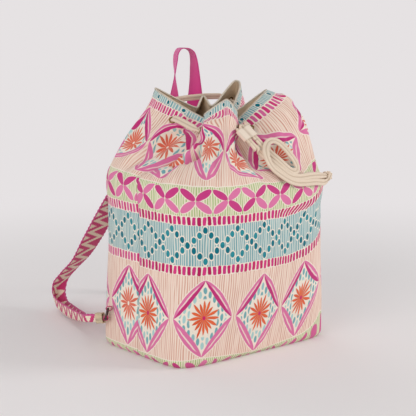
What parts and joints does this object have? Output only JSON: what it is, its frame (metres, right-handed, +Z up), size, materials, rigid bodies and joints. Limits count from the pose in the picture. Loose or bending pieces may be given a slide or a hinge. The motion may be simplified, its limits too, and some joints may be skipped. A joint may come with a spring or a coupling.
{
  "type": "drawcord backpack",
  "caption": "Soft printed canvas backpack with a flat base, a top gathered by a drawcord with a slider, a webbing handle, and two shoulder straps held by rings low on the sides.",
  "frame": {"origin": "centre of the flat base's underside, on the floor the bag stands on", "axes": "+Z up, the front with the cord slider faces -Y, the straps are on +Y, +X is toward the right side as seen from the front"},
  "size_m": [0.3308, 0.4481, 0.4414],
  "materials": {
    "front_canvas": "printed and embroidered cotton canvas",
    "back_canvas": "printed cotton canvas",
    "lining": "plain cotton",
    "base_board": "canvas over board",
    "brass": "antique",
    "cord": "flat canvas cord",
    "pink_webbing": "woven jacquard",
    "beige_webbing": "woven",
    "steel": "dark bronzed"
  },
  "bodies": {
    "body": {"front_panel": "front_canvas", "back_panel": "back_canvas", "lining": "lining", "base_panel": "base_board", "eyelet_1": "brass", "eyelet_2": "brass", "eyelet_3": "brass", "eyelet_4": "brass", "eyelet_5": "brass", "eyelet_6": "brass", "eyelet_7": "brass", "eyelet_8": "brass", "drawcord": "cord", "drawcord_end_left": "cord", "drawcord_end_right": "cord", "drawcord_knot": "cord", "top_handle": "pink_webbing", "strap_left": "pink_webbing", "strap_right": "pink_webbing", "strap_end_loop_left": "pink_webbing", "strap_end_loop_right": "pink_webbing", "ring_tab_left": "pink_webbing", "ring_tab_right": "pink_webbing", "strap_collar_left": "beige_webbing", "strap_collar_right": "beige_webbing"},
    "slider": {"cord_slider": "cord"},
    "ring_left": {"ring_left": "steel"},
    "ring_right": {"ring_right": "steel"}
  },
  "joints": [
    {"name": "slider_slide", "type": "slide", "parent": "body", "child": "slider", "axis": [0.3092, -0.6571, -0.6875], "range_m": [0, 0.005]},
    {"name": "ring_left_spin", "type": "hinge", "parent": "body", "child": "ring_left", "pos_m": [-0.1553, 0.0647, 0.0509], "axis": [-0.7261, 0.6523, 0.2173], "continuous": true},
    {"name": "ring_right_spin", "type": "hinge", "parent": "body", "child": "ring_right", "pos_m": [0.1553, 0.0647, 0.0509], "axis": [0.7261, 0.6523, 0.2173], "continuous": true}
  ]
}
